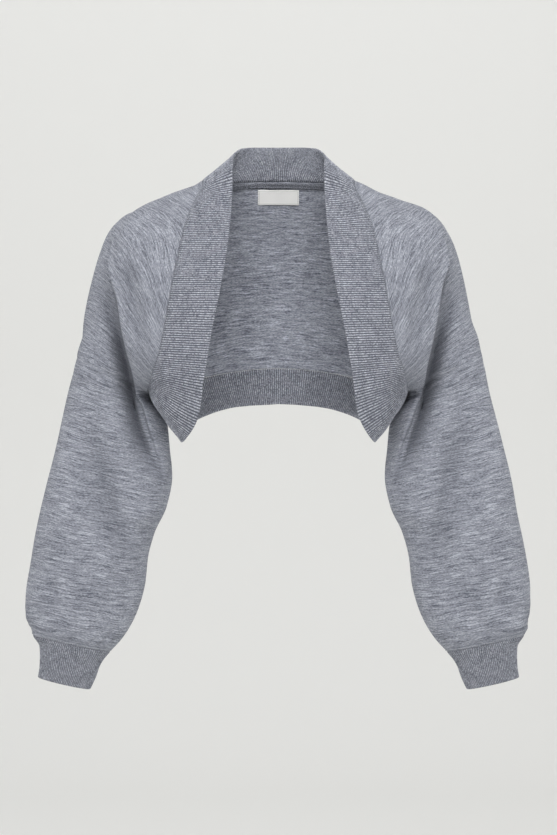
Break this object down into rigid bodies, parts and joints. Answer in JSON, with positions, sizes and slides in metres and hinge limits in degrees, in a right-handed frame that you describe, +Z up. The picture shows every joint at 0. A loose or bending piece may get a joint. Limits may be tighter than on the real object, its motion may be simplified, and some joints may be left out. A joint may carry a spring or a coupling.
{
  "type": "knitted shrug",
  "caption": "Open-fronted cropped knitted shrug with full bishop sleeves, ribbed cuffs and a wide ribbed band round the whole opening, in the shape it has when worn.",
  "frame": {"origin": "middle of the wearer's shoulder line, level with the base of the neck, where the shoulders hold the garment", "axes": "+Z up, -Y towards the garment's front, +X towards the wearer's left"},
  "size_m": [0.618, 0.2223, 0.6712],
  "materials": {
    "jersey": "matte melange fine-gauge plain knit",
    "rib": "matte melange one by one rib knit",
    "label": "smooth woven tape"
  },
  "bodies": {
    "root": {"back": "jersey", "sleeve_and_front_left": "jersey", "sleeve_and_front_right": "jersey", "rib_band": "rib", "cuff_left": "rib", "cuff_right": "rib", "neck_label": "label", "neck_seam": "rib"}
  },
  "joints": []
}
